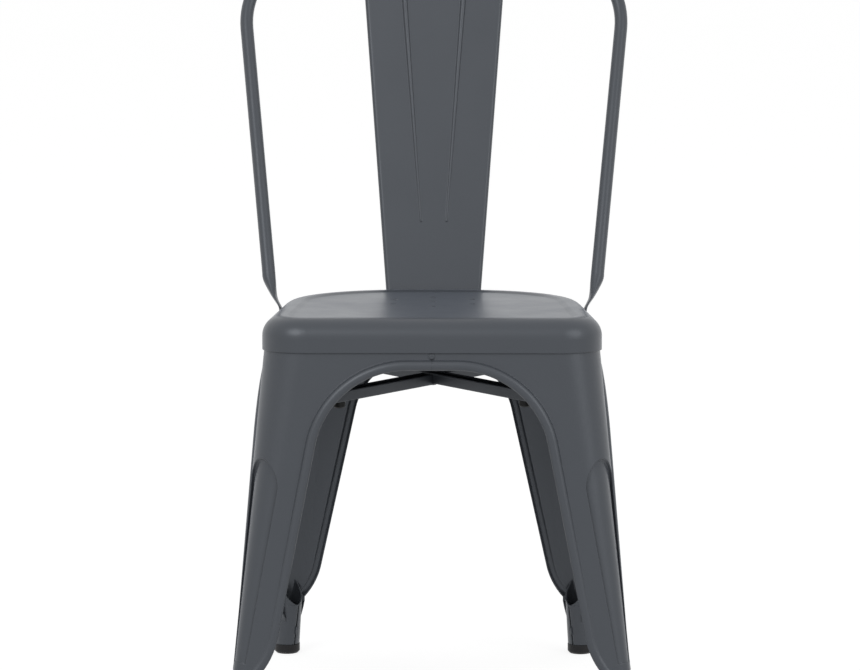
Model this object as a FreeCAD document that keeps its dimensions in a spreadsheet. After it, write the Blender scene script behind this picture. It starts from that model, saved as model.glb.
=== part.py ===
import FreeCAD, Part
import math
import os
import Sketcher
from FreeCAD import Vector

# A pressed-steel stacking bistro chair.
# +Z is up, the front faces -Y and the origin lies on the floor in the middle of the chair's outline.
# Inside the document the modelling origin is the floor point under the middle of the seat,
# and every finished piece is then moved forward so that the origin is in the middle.

# Driving sizes in millimetres and degrees
SIZES = {
    # Seat
    "seat_height": 450,
    "seat_slope": 1.6,
    "seat_depth": 360,
    "seat_front_width": 378,
    "plan_taper": 4,
    "seat_front_corner": 48,
    "seat_rear_corner": 145,
    "seat_shoulder": 22,
    "skirt_height": 37,
    "dish_inset": 27,
    "dish_depth": 2,
    "dish_slope": 6,
    "dish_blend": 5,
    "drain_hole": 7.5,
    "drain_ring": 51,
    "drain_rear": 36,
    # Sheet metal and fits
    "sheet_wall": 1.5,
    "fit_gap": 0.4,
    "leg_tuck": 14,
    # Legs
    "front_lean": 5.27,
    "front_splay": 4.75,
    "rear_lean": 9.08,
    "rear_splay": 4.2,
    "foot_radius": 14.5,
    "foot_top": 60,
    "rear_corner_upper": 72,
    "rear_upper_height": 350,
    "rear_corner_lower": 42,
    "rear_lower_height": 262,
    "bead_radius": 6,
    "bead_sink": 0.8,
    "foot_slit": 1.6,
    # Arches between the legs, each measured in its own leaning wall
    "arch_toe_height": 105,
    "arch_toe_radius": 90,
    "arch_toe_angle": 41,
    "front_arch_height": 393.5,
    "front_arch_radius": 100,
    "front_arch_toe": 166,
    "front_arch_angle": 11,
    "rear_arch_height": 358,
    "rear_arch_radius": 78,
    "rear_arch_toe": 132,
    "rear_arch_angle": 12.2,
    "side_arch_height": 388,
    "side_arch_radius": 90,
    "side_front_toe": 159,
    "side_front_angle": 10.5,
    "side_rear_toe": 178,
    "side_rear_angle": 14,
    # Pressed flute on the outer corner of each leg
    "flute_top": 311,
    "flute_foot": 82,
    "flute_half_width": 22.5,
    "flute_toe_half_width": 10,
    "flute_depth": 5.5,
    "flute_toe_depth": 0.8,
    "flute_scoop": 35,
    # Foot glides
    "glide_radius": 14.9,
    "glide_height": 11,
    "glide_round": 2.5,
    "glide_stem": 16,
    # Back hoop
    "hoop_height": 842,
    "hoop_rear": 281,
    "hoop_tube": 15,
    "hoop_wall": 1.5,
    "hoop_bend": 100,
    "hoop_base_rear": 75,
    "hoop_base_height": 440,
    "hoop_base_half": 184.2,
    "hoop_lean_out": 5.63,
    "hoop_flat_start": 28,
    "strip_wall": 3.6,
    "strip_width": 21,
    "strip_seat_height": 427,
    "strip_end_height": 398,
    # Back splat
    "splat_wall": 1.5,
    "splat_foot_width": 109.3,
    "splat_top_width": 170,
    "splat_bend_height": 431,
    "splat_foot_height": 404,
    "splat_hem": 9,
    "splat_fold": 4.5,
    "rib_top_radius": 3.4,
    "rib_foot_radius": 1.2,
    "rib_top_spread": 37,
    "rib_foot_spread": 14.8,
    "rib_foot_height": 515,
    "rib_top_height": 806,
    # Crossed braces under the seat
    "brace_height": 353,
    "brace_tilt": 2.3,
    "brace_front_corner": 172,
    "brace_front_reach": 166,
    "brace_centre_rear": 13.6,
    "brace_width": 18,
    "brace_depth": 11.5,
    "brace_length": 300,
    # Stacking bumpers
    "bumper_radius": 6.5,
    "bumper_height": 8,
    "bumper_neck": 3,
    "bumper_distance": 148,
    "bumper_rear_distance": 140,
    # Welds and the brace rivet
    "rivet_shank": 3,
    "rivet_head": 6,
    "rivet_head_height": 2.2,
    "weld_width": 7,
    "weld_length": 6.4,
    "weld_proud": 1.1,
    "tack_height": 31,
    "tack_length": 9,
    "tack_width": 3.6,
    "bead_weld_radius": 1.7,
    "hoop_weld_length": 12,
    "splat_weld_length": 24,
    "splat_weld_pitch": 56,
}

doc = FreeCAD.newDocument("bistro_chair")
sizes = doc.addObject("Spreadsheet::Sheet", "sizes")
for row, (alias, number) in enumerate(SIZES.items(), start=1):
    sizes.set(f"A{row}", alias)
    sizes.set(f"B{row}", str(number))
    sizes.setAlias(f"B{row}", alias)
doc.recompute()

# Expressions that several pieces share. S is the prefix of every driving size.
S = "sizes."
SKIRT_MIDDLE = (
    "(sizes.seat_height - sizes.skirt_height"
    " - sizes.seat_depth / 2 * tan(sizes.seat_slope))"
)
SEAT_RISE = "(sizes.seat_depth / 2 * tan(sizes.seat_slope))"
FRONT_EDGE = f"({SKIRT_MIDDLE} + {SEAT_RISE})"
REAR_EDGE = f"({SKIRT_MIDDLE} - {SEAT_RISE})"
SEAT_SIDE = "(sizes.seat_front_width / 2 - sizes.seat_depth / 2 * tan(sizes.plan_taper))"
ACROSS = Vector(1, 0, 0)
PARTS = []


def number(expression):
    """The present value of an expression, used to place sketch geometry before it is constrained."""
    value = sizes.evalExpression(expression)
    return float(getattr(value, "Value", value))


def keep(piece, name):
    """Makes a finished object one sub-part, moved forward so that the chair is centred."""
    piece.Label = name
    placed = dict(piece.ExpressionEngine).get("Placement")
    piece.setExpression("Placement", f"{CENTRED} * {placed}" if placed else CENTRED)
    PARTS.append(piece)


def constrain(sketch, kind, *where, to):
    """Adds a dimension whose value is an expression."""
    degrees = number(to)
    start = math.radians(degrees) if kind == "Angle" else degrees
    index = sketch.addConstraint(Sketcher.Constraint(kind, *where, start))
    sketch.setExpression(f"Constraints[{index}]", to)


def link(sketch, kind, *where):
    sketch.addConstraint(Sketcher.Constraint(kind, *where))


def free_sketch(name, placement):
    sketch = doc.addObject("Sketcher::SketchObject", name)
    sketch.setExpression("Placement", placement)
    return sketch


def body_sketch(body, name, role="XY_Plane"):
    """A sketch on one of the body's own origin planes."""
    sketch = body.newObject("Sketcher::SketchObject", name)
    plane = [f for f in body.Origin.OriginFeatures if f.Role == role][0]
    sketch.AttachmentSupport = [(plane, "")]
    sketch.MapMode = "FlatFace"
    return sketch


def at(x="0", y="0", z="0", turn="rotationz(0)"):
    return f"placement(vector({x}; {y}; {z}); {turn})"


def solid(kind, name, **properties):
    """A Part primitive whose properties are expressions."""
    item = doc.addObject(kind, name)
    for key, value in properties.items():
        item.setExpression(key, value)
    return item


def combine(kind, name, *shapes):
    """A boolean of two or more shapes."""
    item = doc.addObject(kind, name)
    if kind == "Part::Cut":
        item.Base, item.Tool = shapes
    else:
        item.Shapes = list(shapes)
    return item


def loft(name, sections, ruled):
    item = doc.addObject("Part::Loft", name)
    item.Sections = sections
    item.Solid = True
    item.Ruled = ruled
    return item


def sweep(name, section, path):
    item = doc.addObject("Part::Sweep", name)
    item.Sections = [section]
    item.Spine = (path, [f"Edge{n + 1}" for n in range(path.GeometryCount)])
    item.Solid = True
    item.Frenet = False
    return item


def extrude(name, profile, before, after):
    """A prism of a sketch along its own normal."""
    item = doc.addObject("Part::Extrusion", name)
    item.Base = profile
    item.DirMode = "Normal"
    item.Solid = True
    item.setExpression("LengthFwd", after)
    item.setExpression("LengthRev", before)
    return item


def mirror(name, source, normal):
    item = doc.addObject("Part::Mirroring", name)
    item.Source = source
    item.Normal = normal
    return item


class Corner:
    """One corner of the leg frame on the +X side: the front one or the rear one."""

    def __init__(self, name, side, lean, splay, edge):
        self.name = name
        self.side = side
        self.lean = S + lean
        self.splay = S + splay
        self.edge = edge

    def reach(self, height, inset):
        """Distance of the front or rear wall's face from the seat's middle."""
        return (
            f"(sizes.seat_depth / 2 - sizes.sheet_wall - sizes.fit_gap - ({inset})"
            f" + tan({self.lean}) * ({self.edge} - ({height})))"
        )

    def half(self, height, inset):
        """Half-width between the side walls' faces beside the seat's middle."""
        return (
            f"({SEAT_SIDE} - (sizes.sheet_wall + sizes.fit_gap + ({inset})) / cos(sizes.plan_taper)"
            f" + tan({self.splay}) * ({SKIRT_MIDDLE} - ({height})))"
        )

    def centre(self, height, radius):
        """Centre of the rounded corner in plan."""
        y = f"{self.side} * ({self.reach(height, '0')} - ({radius}))"
        x = (
            f"({self.half(height, '0')} - tan(sizes.plan_taper) * ({y})"
            f" - ({radius}) / cos(sizes.plan_taper))"
        )
        return x, y


FRONT = Corner("front", -1, "front_lean", "front_splay", FRONT_EDGE)
REAR = Corner("rear", 1, "rear_lean", "rear_splay", REAR_EDGE)
FOREMOST = (
    f"({FRONT.reach(S + 'glide_height', '0')} - sizes.foot_radius + sizes.glide_radius)"
)
CENTRED = at(y=f"-(sizes.hoop_rear + sizes.hoop_tube / 2 - {FOREMOST}) / 2")
SEAM_OVERRUN = "5"


def quarter_section(corner, name, height, radius, inset, overrun):
    """Plan of one quarter of the leg frame at a height: two faces joined by the rounded corner."""
    sketch = free_sketch(name, at(z=height))
    side = corner.side
    reach = corner.reach(height, inset)
    half = corner.half(height, inset)
    bend = f"({radius} - ({inset}))"
    over, wall_y, wall_x, r = (number(e) for e in (overrun, reach, half, bend))
    taper = math.radians(SIZES["plan_taper"])
    centre_y = side * (wall_y - r)
    centre_x = wall_x - math.tan(taper) * centre_y - r / math.cos(taper)
    bend_end = Vector(centre_x + r * math.cos(taper), centre_y + r * math.sin(taper), 0)
    bend_start = Vector(centre_x, side * wall_y, 0)
    seam_low = Vector(-over, -side * over, 0)
    seam_high = Vector(-over, side * wall_y, 0)
    side_end = Vector(wall_x + side * math.tan(taper) * over, -side * over, 0)
    circle = Part.Circle(Vector(centre_x, centre_y, 0), Vector(0, 0, 1), r)
    if side < 0:
        arc = Part.ArcOfCircle(circle, -math.pi / 2, taper)
        arc_in, arc_out = 1, 2
        side_angle = "90 + sizes.plan_taper"
    else:
        arc = Part.ArcOfCircle(circle, taper, math.pi / 2)
        arc_in, arc_out = 2, 1
        side_angle = "sizes.plan_taper - 90"
    sketch.addGeometry(
        [
            Part.LineSegment(seam_low, seam_high),
            Part.LineSegment(seam_high, bend_start),
            arc,
            Part.LineSegment(bend_end, side_end),
            Part.LineSegment(side_end, seam_low),
        ]
    )
    link(sketch, "Coincident", 0, 2, 1, 1)
    link(sketch, "Coincident", 3, 2, 4, 1)
    link(sketch, "Coincident", 4, 2, 0, 1)
    link(sketch, "Vertical", 0)
    link(sketch, "Horizontal", 1)
    link(sketch, "Horizontal", 4)
    link(sketch, "Tangent", 1, 2, 2, arc_in)
    link(sketch, "Tangent", 2, arc_out, 3, 1)
    constrain(sketch, "Angle", 3, to=side_angle)
    constrain(sketch, "Radius", 2, to=bend)
    constrain(sketch, "DistanceX", -1, 1, 0, 1, to=f"-({overrun})")
    constrain(sketch, "DistanceY", -1, 1, 0, 1, to=f"{-side} * ({overrun})")
    constrain(sketch, "DistanceY", -1, 1, 0, 2, to=f"{side} * {reach}")
    constrain(
        sketch, "DistanceX", -1, 1, 3, 2,
        to=f"{half} + {side} * tan(sizes.plan_taper) * ({overrun})",
    )
    return sketch


def quarter_block(corner, name, inset, overrun, deeper=("0", "0")):
    """Solid quarter of the leg frame. deeper adds to the inset at the foot and at the top."""
    foot_inset = f"({inset} + {deeper[0]})"
    top_inset = f"({inset} + {deeper[1]})"
    leg_top = f"({corner.edge} + sizes.leg_tuck)"
    stages = [(S + "foot_top", S + "foot_radius", foot_inset)]
    if corner is FRONT:
        top_radius = "(sizes.seat_front_corner - sizes.sheet_wall - sizes.fit_gap)"
    else:
        top_radius = "(sizes.seat_rear_corner - sizes.sheet_wall - sizes.fit_gap)"
        for level in ("lower", "upper"):
            height = f"{S}rear_{level}_height"
            share = f"(({height} - sizes.foot_top) / ({leg_top} - sizes.foot_top))"
            between = f"({inset} + {deeper[0]} + ({deeper[1]} - {deeper[0]}) * {share})"
            stages.append((height, f"{S}rear_corner_{level}", between))
    stages.append((leg_top, top_radius, top_inset))
    sections = [
        quarter_section(corner, f"{name}_section_{n}", height, radius, depth, overrun)
        for n, (height, radius, depth) in enumerate(stages)
    ]
    return loft(name, sections, corner is FRONT)


class Wall:
    """One leaning wall of the leg frame, with its arch measured inside the wall's own plane."""

    def __init__(self, corner, kind):
        self.corner = corner
        self.name = f"{corner.name}_{kind}"
        side = corner.side
        if kind == "face":
            prefix = f"{corner.name}_arch"
            self.top = f"{S}{prefix}_height"
            self.radius = f"{S}{prefix}_radius"
            self.toe = f"{S}{prefix}_toe"
            self.angle = f"{S}{prefix}_angle"
            self.tilt = corner.lean
            self.base = ("0", f"{side} * {corner.reach(self.top, '0')}", self.top)
            self.yaw = "0"
            self.lean_sign = side
        else:
            self.top = S + "side_arch_height"
            self.radius = S + "side_arch_radius"
            self.toe = f"{S}side_{corner.name}_toe"
            self.angle = f"{S}side_{corner.name}_angle"
            self.tilt = corner.splay
            self.base = (corner.half(self.top, "0"), "0", self.top)
            self.yaw = f"{side} * 90 + sizes.plan_taper"
            self.lean_sign = -side

    def place(self, relief="0", shift="0"):
        """Placement of the wall's plane: local X runs from the seam to the corner, local Y up the wall."""
        turn = (
            f"rotationz({self.yaw}) * rotationx(90 + {self.lean_sign} * ({self.tilt} - {relief}))"
        )
        base = f"placement(vector({'; '.join(self.base)}); {turn})"
        return f"{base} * placement(vector({shift}; 0; 0); rotationz(0))"


ARCH_OVERRUN = "20"


def arch_sketch(wall, name, offset, closed, relief="0"):
    """Half an arch in the wall's plane: crown, bend, straight side and the toe that turns to the foot."""
    sketch = free_sketch(name, wall.place(relief))
    drop = f"(({wall.top} - sizes.arch_toe_height) / cos({wall.tilt}))"
    end_drop = f"(({wall.top} - sizes.foot_top) / cos({wall.tilt}))"
    toe_radius = f"(sizes.arch_toe_radius - ({offset}))"
    bend = f"({wall.radius} + {offset})"
    toe_x = f"({wall.toe} + ({offset}) * cos({wall.angle}))"
    toe_y = f"(({offset}) * sin({wall.angle}) - {drop})"
    e, r, rt, tx, ty = (number(v) for v in (offset, bend, toe_radius, toe_x, toe_y))
    a = math.radians(number(wall.angle))
    b = math.radians(SIZES["arch_toe_angle"])
    over = float(ARCH_OVERRUN)
    # The side line runs through the toe point at the angle a from upright
    centre_y = e - r
    tangent_y = centre_y + r * math.sin(a)
    tangent_x = tx - math.tan(a) * (tangent_y - ty)
    centre_x = tangent_x - r * math.cos(a)
    toe_centre = Vector(tx + rt * math.cos(a), ty + rt * math.sin(a), 0)
    toe_end = toe_centre - Vector(math.cos(b), math.sin(b), 0) * rt
    crown_start = Vector(-over, e, 0)
    crown_end = Vector(centre_x, e, 0)
    side_top = Vector(tangent_x, tangent_y, 0)
    up = Vector(0, 0, 1)
    bend_arc = Part.ArcOfCircle(Part.Circle(Vector(centre_x, centre_y, 0), up, r), a, math.pi / 2)
    toe_arc = Part.ArcOfCircle(Part.Circle(toe_centre, up, rt), math.pi + a, math.pi + b)
    geometry = [
        Part.LineSegment(crown_start, crown_end),
        bend_arc,
        Part.LineSegment(side_top, Vector(tx, ty, 0)),
        toe_arc,
    ]
    if closed:
        low = -number(end_drop) - over
        geometry += [
            Part.LineSegment(toe_end, Vector(toe_end.x, low, 0)),
            Part.LineSegment(Vector(toe_end.x, low, 0), Vector(-over, low, 0)),
            Part.LineSegment(Vector(-over, low, 0), crown_start),
        ]
    sketch.addGeometry(geometry)
    link(sketch, "Horizontal", 0)
    link(sketch, "Tangent", 0, 2, 1, 2)
    link(sketch, "Tangent", 1, 1, 2, 1)
    link(sketch, "Tangent", 2, 2, 3, 1)
    constrain(sketch, "Radius", 1, to=bend)
    constrain(sketch, "Radius", 3, to=toe_radius)
    constrain(sketch, "DistanceX", -1, 1, 0, 1, to=f"-{ARCH_OVERRUN}")
    constrain(sketch, "DistanceY", -1, 1, 0, 1, to=offset)
    constrain(sketch, "DistanceX", -1, 1, 2, 2, to=toe_x)
    constrain(sketch, "DistanceY", -1, 1, 2, 2, to=toe_y)
    constrain(sketch, "Angle", 2, to=f"{wall.angle} - 90")
    end_x = f"({toe_x} + {toe_radius} * (cos({wall.angle}) - cos(sizes.arch_toe_angle)))"
    constrain(sketch, "DistanceX", -1, 1, 3, 2, to=end_x)
    if closed:
        link(sketch, "Coincident", 3, 2, 4, 1)
        link(sketch, "Coincident", 4, 2, 5, 1)
        link(sketch, "Coincident", 5, 2, 6, 1)
        link(sketch, "Coincident", 6, 2, 0, 1)
        link(sketch, "Vertical", 4)
        link(sketch, "Horizontal", 5)
        link(sketch, "Vertical", 6)
        constrain(sketch, "DistanceY", -1, 1, 4, 2, to=f"-{end_drop} - {ARCH_OVERRUN}")
    return sketch


def bead_rod(wall, name, radius, rounded):
    """Round rod along the arch: its outer half is the raised bead at the sheet's edge."""
    path = arch_sketch(wall, f"{name}_path", S + "bead_radius", False, S + "bead_sink")
    ring = doc.addObject("Part::Circle", f"{name}_ring")
    ring.setExpression("Radius", radius)
    relieved = wall.place(S + "bead_sink")
    ring.setExpression(
        "Placement",
        f"{relieved} * placement(vector(-{ARCH_OVERRUN}; sizes.bead_radius; 0); rotationy(90))",
    )
    rod = sweep(name, ring, path)
    if not rounded:
        return [rod]
    end = doc.addObject("Part::Sphere", f"{name}_end")
    end.setExpression("Radius", radius)
    toe = f"(sizes.arch_toe_radius - sizes.bead_radius)"
    drop = f"(({wall.top} - sizes.arch_toe_height) / cos({wall.tilt}))"
    end_x = (
        f"({wall.toe} + sizes.bead_radius * cos({wall.angle})"
        f" + {toe} * (cos({wall.angle}) - cos(sizes.arch_toe_angle)))"
    )
    end_y = (
        f"(sizes.bead_radius * sin({wall.angle}) - {drop}"
        f" + {toe} * (sin({wall.angle}) - sin(sizes.arch_toe_angle)))"
    )
    end.setExpression(
        "Placement", f"{relieved} * placement(vector({end_x}; {end_y}; 0); rotationz(0))"
    )
    return [rod, end]


FLUTE_CLEAR = "6"
FLUTE_REACH = "14"


def flute_prism(corner, name, grow):
    """Prism that enters the outer corner along its diagonal, with a round top that scoops inwards."""
    side = corner.side
    lean = f"(atan((tan({corner.lean}) + tan({corner.splay})) / sqrt(2)) / 1 deg)"
    top_x = (
        f"({corner.half(S + 'flute_top', '0')}"
        f" - {side} * tan(sizes.plan_taper) * {corner.reach(S + 'flute_top', '0')})"
    )
    top_y = f"{side} * {corner.reach(S + 'flute_top', '0')}"
    yaw = "45" if side < 0 else "135"
    turn = f"rotationz({yaw}) * rotationx(90 - {lean} - sizes.flute_scoop)"
    sketch = free_sketch(f"{name}_outline", at(top_x, top_y, S + "flute_top", turn))
    wide = f"(sizes.flute_half_width + {grow})"
    narrow = f"(sizes.flute_toe_half_width + {grow})"
    length = f"((sizes.flute_top - sizes.flute_foot) * cos(sizes.flute_scoop) + {grow})"
    w, n, deep, g = (number(v) for v in (wide, narrow, length, grow))
    sketch.addGeometry(
        [
            Part.ArcOfCircle(Part.Circle(Vector(0, g - w, 0), Vector(0, 0, 1), w), 0, math.pi),
            Part.LineSegment(Vector(-w, g - w, 0), Vector(-n, -deep, 0)),
            Part.LineSegment(Vector(-n, -deep, 0), Vector(n, -deep, 0)),
            Part.LineSegment(Vector(n, -deep, 0), Vector(w, g - w, 0)),
        ]
    )
    link(sketch, "Coincident", 0, 2, 1, 1)
    link(sketch, "Coincident", 1, 2, 2, 1)
    link(sketch, "Coincident", 2, 2, 3, 1)
    link(sketch, "Coincident", 3, 2, 0, 1)
    link(sketch, "PointOnObject", 0, 3, -2)
    link(sketch, "Horizontal", 2)
    constrain(sketch, "Radius", 0, to=wide)
    constrain(sketch, "DistanceY", -1, 1, 0, 3, to=f"({grow}) - {wide}")
    link(sketch, "Horizontal", 0, 1, 0, 3)
    link(sketch, "Horizontal", 0, 2, 0, 3)
    constrain(sketch, "DistanceX", -1, 1, 1, 2, to=f"-{narrow}")
    constrain(sketch, "DistanceX", -1, 1, 2, 2, to=narrow)
    constrain(sketch, "DistanceY", -1, 1, 1, 2, to=f"-{length}")
    inward = f"((sizes.flute_top - sizes.flute_foot) * sin(sizes.flute_scoop) + {FLUTE_REACH})"
    return extrude(name, sketch, inward, FLUTE_CLEAR)


def fluted_block(corner, name, inset, overrun, grow):
    """Quarter block whose outer corner is pressed in by the flute."""
    block = quarter_block(corner, f"{name}_block", inset, overrun)
    floor = quarter_block(
        corner, f"{name}_floor", inset, "8", (S + "flute_toe_depth", S + "flute_depth")
    )
    prism = flute_prism(corner, f"{name}_flute", grow)
    groove = combine("Part::Cut", f"{name}_groove", prism, floor)
    return combine("Part::Cut", f"{name}_fluted", block, groove)


def foot_circle(corner, name, height, inset):
    """Circle round the corner's own centre line at a height."""
    ring = doc.addObject("Part::Circle", name)
    x, y = corner.centre(height, S + "foot_radius")
    ring.setExpression("Radius", f"sizes.foot_radius - ({inset})")
    ring.setExpression("Placement", at(x, y, height))
    return ring


def foot_rod(corner, name, inset, low, high):
    ends = [foot_circle(corner, f"{name}_{n}", e, inset) for n, e in enumerate((low, high))]
    return loft(name, ends, True)


def foot_box(corner, name, middle, tall, across, inner, outer):
    """Box along the foot's leaning axis that points to the chair's middle, where the sheet meets."""
    box = doc.addObject("Part::Box", name)
    x, y = corner.centre(middle, S + "foot_radius")
    lean = f"(atan(sqrt(tan({corner.lean}) ^ 2 + tan({corner.splay}) ^ 2)) / 1 deg)"
    box.setExpression("Length", f"({outer}) - ({inner})")
    box.setExpression("Width", across)
    box.setExpression("Height", tall)
    inward = "135" if corner is FRONT else "225"
    turn = f"rotationz({inward}) * rotationy({lean})"
    corner_place = at(inner, f"-({across}) / 2", f"-({tall}) / 2")
    box.setExpression("Placement", f"{at(x, y, middle, turn)} * {corner_place}")
    return box


def leg(corner):
    """The leg on the +X side: half of two aprons, the fluted corner, beaded edges and a rolled foot."""
    name = corner.name
    walls = [Wall(corner, "face"), Wall(corner, "side")]
    outside = [fluted_block(corner, f"{name}_outer", "0", "0", "0")]
    core = fluted_block(corner, f"{name}_inner", S + "sheet_wall", SEAM_OVERRUN, "sizes.sheet_wall")
    inside = []
    openings = []
    for wall in walls:
        outside += bead_rod(wall, f"{wall.name}_bead", S + "bead_radius", True)
        hollow_radius = "sizes.bead_radius - sizes.sheet_wall"
        inside += bead_rod(wall, f"{wall.name}_bead_hollow", hollow_radius, False)
        outline = arch_sketch(wall, f"{wall.name}_arch", "sizes.sheet_wall / 2", True)
        openings.append(extrude(f"{wall.name}_opening", outline, "60", "60"))
    full = combine("Part::MultiFuse", f"{name}_outside", *outside)
    shell = combine("Part::Cut", f"{name}_shell", full, core)
    for n, rod in enumerate(inside):
        shell = combine("Part::Cut", f"{name}_hollowed_{n}", shell, rod)
    arches = combine("Part::MultiFuse", f"{name}_arches", *openings)
    upper = combine("Part::Cut", f"{name}_upper", shell, arches)
    quadrant = solid(
        "Part::Box", f"{name}_quadrant",
        Length="sizes.seat_front_width", Width="sizes.seat_depth", Height=S + "seat_height",
    )
    quadrant.setExpression("Placement.Base.y", "-sizes.seat_depth" if corner is FRONT else "0")
    upper = combine("Part::MultiCommon", f"{name}_trimmed", upper, quadrant)
    low = S + "glide_height"
    high = "(sizes.foot_top + 3)"
    tube = combine(
        "Part::Cut", f"{name}_tube",
        foot_rod(corner, f"{name}_tube_outer", "0", low, S + "foot_top"),
        foot_rod(corner, f"{name}_tube_bore", S + "sheet_wall", "sizes.glide_height - 1", high),
    )
    slit = foot_box(
        corner, f"{name}_slit", "(sizes.foot_top + sizes.glide_height) / 2", S + "foot_top",
        S + "foot_slit", "0", "2 * sizes.foot_radius",
    )
    rolled = combine("Part::Cut", f"{name}_rolled", tube, slit)
    return combine("Part::MultiFuse", f"{name}_leg", upper, rolled)


def polygon(sketch, points):
    """Closed outline whose corners are pairs of expressions."""
    spots = [Vector(number(x), number(y), 0) for x, y in points]
    count = len(spots)
    for n in range(count):
        sketch.addGeometry(Part.LineSegment(spots[n], spots[(n + 1) % count]))
    for n in range(count):
        link(sketch, "Coincident", n, 2, (n + 1) % count, 1)
    for n, (x, y) in enumerate(points):
        constrain(sketch, "DistanceX", -1, 1, n, 1, to=x)
        constrain(sketch, "DistanceY", -1, 1, n, 1, to=y)
    return sketch


def edges_where(feature, test):
    """Names of the feature's edges that pass a test."""
    return [f"Edge{n}" for n, edge in enumerate(feature.Shape.Edges, start=1) if test(edge)]


def fillet(body, name, radius, test):
    """Rounds the edges of the body's present shape that pass a test."""
    doc.recompute()
    base = body.Tip
    item = body.newObject("PartDesign::Fillet", name)
    item.Base = (base, edges_where(base, test))
    item.setExpression("Radius", radius)
    return item


def pad(body, name, sketch, length):
    item = body.newObject("PartDesign::Pad", name)
    item.Profile = sketch
    item.setExpression("Length", length)
    return item


def body_loft(body, name, kind, low, high):
    item = body.newObject(f"PartDesign::{kind}Loft", name)
    item.Profile = low
    item.Sections = [high]
    item.Ruled = True
    return item


def turned(name, points):
    """A body turned about Z from a half profile of radius and height pairs."""
    body = doc.addObject("PartDesign::Body", name)
    profile = polygon(body_sketch(body, f"{name}_profile", "XZ_Plane"), points)
    turn = body.newObject("PartDesign::Revolution", f"{name}_turn")
    turn.Profile = profile
    turn.ReferenceAxis = (profile, ["V_Axis"])
    turn.Angle = 360
    return body


def seat_outline(body, name, inset, height):
    """Plan of the seat: straight front, tapering sides and large rear corners."""
    sketch = body_sketch(body, name)
    sketch.setExpression("AttachmentOffset", at(z=height))
    taper = SIZES["plan_taper"]
    corners = []
    for radius, side in ((S + "seat_front_corner", -1), (S + "seat_rear_corner", 1)):
        y = f"{side} * (sizes.seat_depth / 2 - {radius})"
        x = f"({SEAT_SIDE} - tan(sizes.plan_taper) * {y} - {radius} / cos(sizes.plan_taper))"
        corners.append((x, y, f"{radius} - ({inset})"))
    front, rear = corners
    stations = [
        (f"{front[0]}", front, -90, taper),
        (f"{rear[0]}", rear, taper, 90),
        (f"-{rear[0]}", rear, 90, 180 - taper),
        (f"-{front[0]}", front, 180 - taper, 270),
    ]
    arcs = []
    for x, (_, y, radius), start, end in stations:
        circle = Part.Circle(Vector(number(x), number(y), 0), Vector(0, 0, 1), number(radius))
        arcs.append(Part.ArcOfCircle(circle, math.radians(start), math.radians(end)))
    for n, arc in enumerate(arcs):
        sketch.addGeometry(Part.LineSegment(arcs[n - 1].EndPoint, arc.StartPoint))
        sketch.addGeometry(arc)
    for n in range(2 * len(arcs)):
        link(sketch, "Tangent", n, 2, (n + 1) % (2 * len(arcs)), 1)
    for n, (x, (_, y, radius), _, _) in enumerate(stations):
        constrain(sketch, "DistanceX", -1, 1, 2 * n + 1, 3, to=x)
        constrain(sketch, "DistanceY", -1, 1, 2 * n + 1, 3, to=y)
        constrain(sketch, "Radius", 2 * n + 1, to=radius)
    return sketch


def level_edges(height):
    """Test for edges that lie at one height."""
    return lambda edge: all(abs(v.Z - height) < 0.001 for v in edge.Vertexes)


def seat_form(name, inset, below):
    """Solid form of the seat: pad, rolled shoulder and shallow dish."""
    body = doc.addObject("PartDesign::Body", name)
    top = f"(sizes.skirt_height - ({inset}))"
    base = seat_outline(body, f"{name}_outline", inset, f"-({below})")
    pad(body, f"{name}_block", base, f"{top} + ({below})")
    fillet(body, f"{name}_shoulder", f"sizes.seat_shoulder - ({inset})", level_edges(number(top)))
    floor = f"({top} - sizes.dish_depth)"
    rim = seat_outline(body, f"{name}_dish_rim", S + "dish_inset", top)
    low = seat_outline(body, f"{name}_dish_floor", "sizes.dish_inset + sizes.dish_slope", floor)
    body_loft(body, f"{name}_dish", "Subtractive", rim, low)
    fillet(body, f"{name}_dish_floor_blend", S + "dish_blend", level_edges(number(floor)))
    inside = number("sizes.seat_depth / 2 - sizes.seat_shoulder") - 1
    rim_edge = level_edges(number(top))
    fillet(
        body, f"{name}_dish_rim_blend", S + "dish_blend",
        lambda edge: rim_edge(edge) and edge.BoundBox.YMax < inside and edge.BoundBox.YMin > -inside,
    )
    return body


# Seat pan: one pressed sheet with a dished top, a broad rolled shoulder, a skirt and drain holes
def seat_pan():
    outer = seat_form("seat_outer", "0", "0")
    inner = seat_form("seat_inner", S + "sheet_wall", "1")
    drains = free_sketch("drain_outline", at())
    points = [("0", "0")]
    for n in range(6):
        points.append((f"sizes.drain_ring * sin({60 * n})", f"sizes.drain_ring * cos({60 * n})"))
    for n, (x, y) in enumerate(points):
        rear = f"{y} + sizes.drain_rear"
        hole = Part.Circle(Vector(number(x), number(rear), 0), Vector(0, 0, 1), 1)
        sketch_index = drains.addGeometry(hole)
        constrain(drains, "Diameter", sketch_index, to=S + "drain_hole")
        constrain(drains, "DistanceX", -1, 1, sketch_index, 3, to=x)
        constrain(drains, "DistanceY", -1, 1, sketch_index, 3, to=rear)
    shell = combine("Part::Cut", "seat_shell", outer, inner)
    pierced = combine("Part::Cut", "seat_pierced", shell, extrude("drains", drains, "0", "60"))
    pierced.setExpression("Placement", at(z=SKIRT_MIDDLE, turn="rotationx(-sizes.seat_slope)"))
    return pierced


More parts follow.
